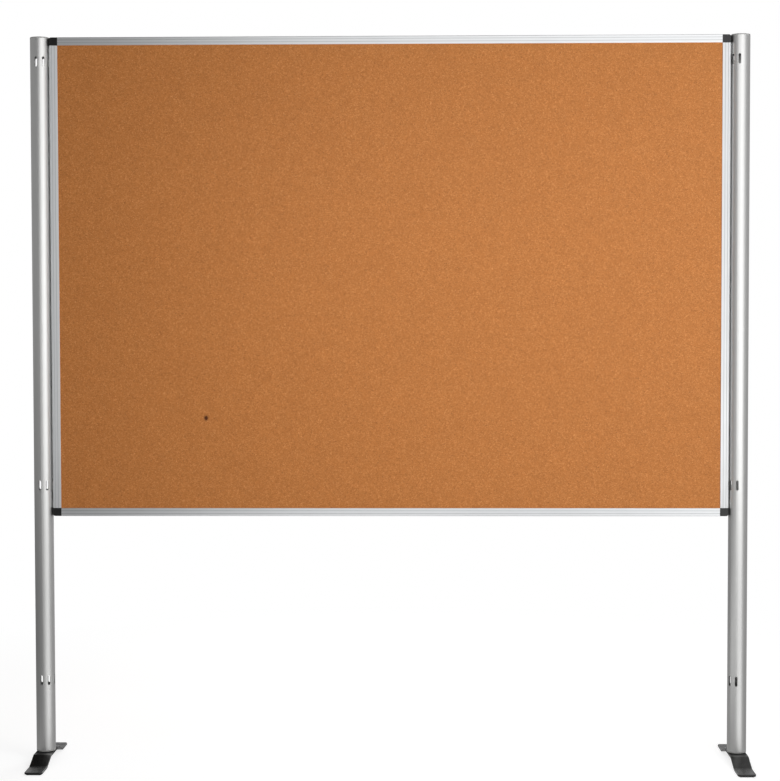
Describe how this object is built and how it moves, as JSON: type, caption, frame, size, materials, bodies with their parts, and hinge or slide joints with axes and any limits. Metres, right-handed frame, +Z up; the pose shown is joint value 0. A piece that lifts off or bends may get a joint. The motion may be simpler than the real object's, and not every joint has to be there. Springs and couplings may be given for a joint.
{
  "type": "freestanding pinboard",
  "caption": "Framed cork pinboard hooked between two slotted tube posts, each standing on a bent steel foot that swivels.",
  "frame": {"origin": "on the floor, midway between the posts and midway between the toes of the feet", "axes": "+X along the board to the right seen from the front, +Y to the back, +Z up"},
  "size_m": [1.798, 0.33, 1.825],
  "materials": {
    "post_aluminium": "satin anodised, drawn along the tube",
    "rail_aluminium": "satin anodised extrusion",
    "grey_plastic": "fine moulded texture",
    "black_plastic": "moulded, semi-matt",
    "black_nylon": "smooth",
    "black_steel": "smooth powder coat, half gloss",
    "zinc_steel": "bright zinc plate",
    "pad_rubber": "matt",
    "cork": "fine ground cork, sanded",
    "fibre_core": "pressed wood fibre"
  },
  "bodies": {
    "posts": {"left_post_tube": "post_aluminium", "right_post_tube": "post_aluminium", "left_post_cap": "grey_plastic", "right_post_cap": "grey_plastic", "left_base_plug": "grey_plastic", "right_base_plug": "grey_plastic", "left_swivel_washer": "black_nylon", "right_swivel_washer": "black_nylon", "left_foot_bolt": "zinc_steel", "right_foot_bolt": "zinc_steel", "left_foot_washer": "zinc_steel", "right_foot_washer": "zinc_steel"},
    "board": {"top_rail": "rail_aluminium", "bottom_rail": "rail_aluminium", "left_rail": "rail_aluminium", "right_rail": "rail_aluminium", "top_left_corner": "black_plastic", "top_right_corner": "black_plastic", "bottom_left_corner": "black_plastic", "bottom_right_corner": "black_plastic", "cork_front": "cork", "cork_back": "cork", "core_board": "fibre_core", "upper_left_hook": "zinc_steel", "upper_right_hook": "zinc_steel", "lower_left_hook": "zinc_steel", "lower_right_hook": "zinc_steel", "hook_screws": "zinc_steel", "corner_screws": "zinc_steel"},
    "left_base": {"left_foot": "black_steel", "left_front_pad": "pad_rubber", "left_rear_pad": "pad_rubber"},
    "right_base": {"right_foot": "black_steel", "right_front_pad": "pad_rubber", "right_rear_pad": "pad_rubber"}
  },
  "joints": [
    {"name": "left_foot_swivel", "type": "hinge", "parent": "posts", "child": "left_base", "pos_m": [-0.875, 0, 0.0225], "axis": [0, 0, 1], "range_deg": [-90, 90]},
    {"name": "right_foot_swivel", "type": "hinge", "parent": "posts", "child": "right_base", "pos_m": [0.875, 0, 0.0225], "axis": [0, 0, 1], "range_deg": [-90, 90]},
    {"name": "board_lift", "type": "slide", "parent": "posts", "child": "board", "axis": [0, 0, 1], "range_m": [0, 0.0114]}
  ]
}
